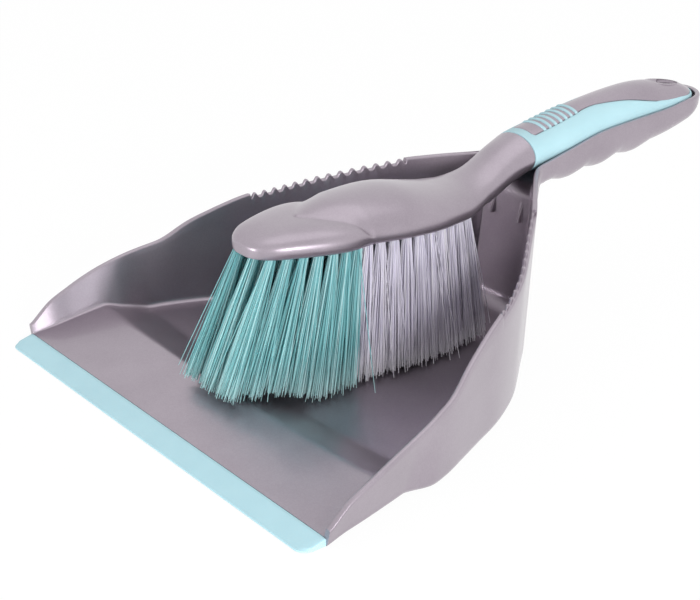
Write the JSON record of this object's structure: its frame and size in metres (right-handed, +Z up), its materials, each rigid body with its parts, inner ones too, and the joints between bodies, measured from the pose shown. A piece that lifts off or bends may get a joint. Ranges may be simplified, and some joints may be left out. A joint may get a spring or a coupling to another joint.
{
  "type": "dust pan and brush set",
  "caption": "Dust pan with high curved walls, a ramp and a soft front lip, and a hand brush whose grip nests in the channel of the pan's handle and lifts off.",
  "frame": {"origin": "on the ground, under the middle of the set's bounding box", "axes": "+Z up, +Y from the pan's lip towards the handles, X = 0 the mirror plane of pan and brush"},
  "size_m": [0.228, 0.33, 0.0989],
  "materials": {
    "grey_plastic": "glossy pearl-grey polypropylene",
    "lip_rubber": "satin pale blue soft rubber",
    "grip_rubber": "satin pale blue soft rubber",
    "anchor_wire": "plain steel wire",
    "teal_bristles": "teal polyester filament",
    "white_bristles": "white polyester filament"
  },
  "bodies": {
    "pan": {"pan_body": "grey_plastic", "pan_lip": "lip_rubber"},
    "brush": {"brush_core": "grey_plastic", "brush_grip": "grip_rubber", "tuft_anchors": "anchor_wire", "teal_tufts_1": "teal_bristles", "teal_tufts_2": "teal_bristles", "teal_tufts_3": "teal_bristles", "teal_tufts_4": "teal_bristles", "teal_tufts_5": "teal_bristles", "teal_tufts_6": "teal_bristles", "teal_tufts_7": "teal_bristles", "white_tufts_1": "white_bristles", "white_tufts_2": "white_bristles", "white_tufts_3": "white_bristles", "white_tufts_4": "white_bristles", "white_tufts_5": "white_bristles", "white_tufts_6": "white_bristles", "white_tufts_7": "white_bristles", "white_tufts_8": "white_bristles", "white_tufts_9": "white_bristles", "white_tufts_10": "white_bristles"}
  },
  "joints": [
    {"name": "brush_lift", "type": "slide", "parent": "pan", "child": "brush", "axis": [0, 0, 1], "range_m": [0, 0.1]}
  ]
}
